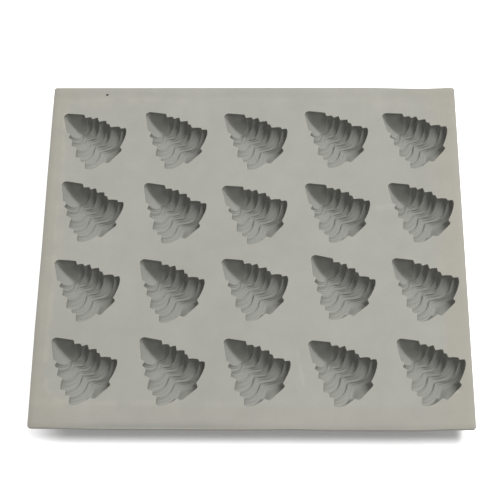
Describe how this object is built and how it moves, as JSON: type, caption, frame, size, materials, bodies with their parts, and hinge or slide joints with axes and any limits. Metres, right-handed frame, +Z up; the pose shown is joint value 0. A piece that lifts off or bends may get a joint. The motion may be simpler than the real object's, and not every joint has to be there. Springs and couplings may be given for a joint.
{
  "type": "rubber candy mould",
  "caption": "Flat grey rubber sheet with rows of fir-tree cavities for shaping sweets, standing on the rounded backs of the cavities.",
  "frame": {"origin": "on the table below the middle of the sheet, level with the feet of the cups", "axes": "+X along the sheet's longer front edge, +Y away from the front edge, +Z up, out of the cavities"},
  "size_m": [0.3048, 0.2666, 0.0155],
  "materials": {
    "rubber": "matt, slightly powdery warm grey"
  },
  "bodies": {
    "root": {"face_sheet": "rubber", "tree_cup_1_1": "rubber", "tree_cup_1_2": "rubber", "tree_cup_1_3": "rubber", "tree_cup_1_4": "rubber", "tree_cup_1_5": "rubber", "tree_cup_2_1": "rubber", "tree_cup_2_2": "rubber", "tree_cup_2_3": "rubber", "tree_cup_2_4": "rubber", "tree_cup_2_5": "rubber", "tree_cup_3_1": "rubber", "tree_cup_3_2": "rubber", "tree_cup_3_3": "rubber", "tree_cup_3_4": "rubber", "tree_cup_3_5": "rubber", "tree_cup_4_1": "rubber", "tree_cup_4_2": "rubber", "tree_cup_4_3": "rubber", "tree_cup_4_4": "rubber", "tree_cup_4_5": "rubber"}
  },
  "joints": []
}
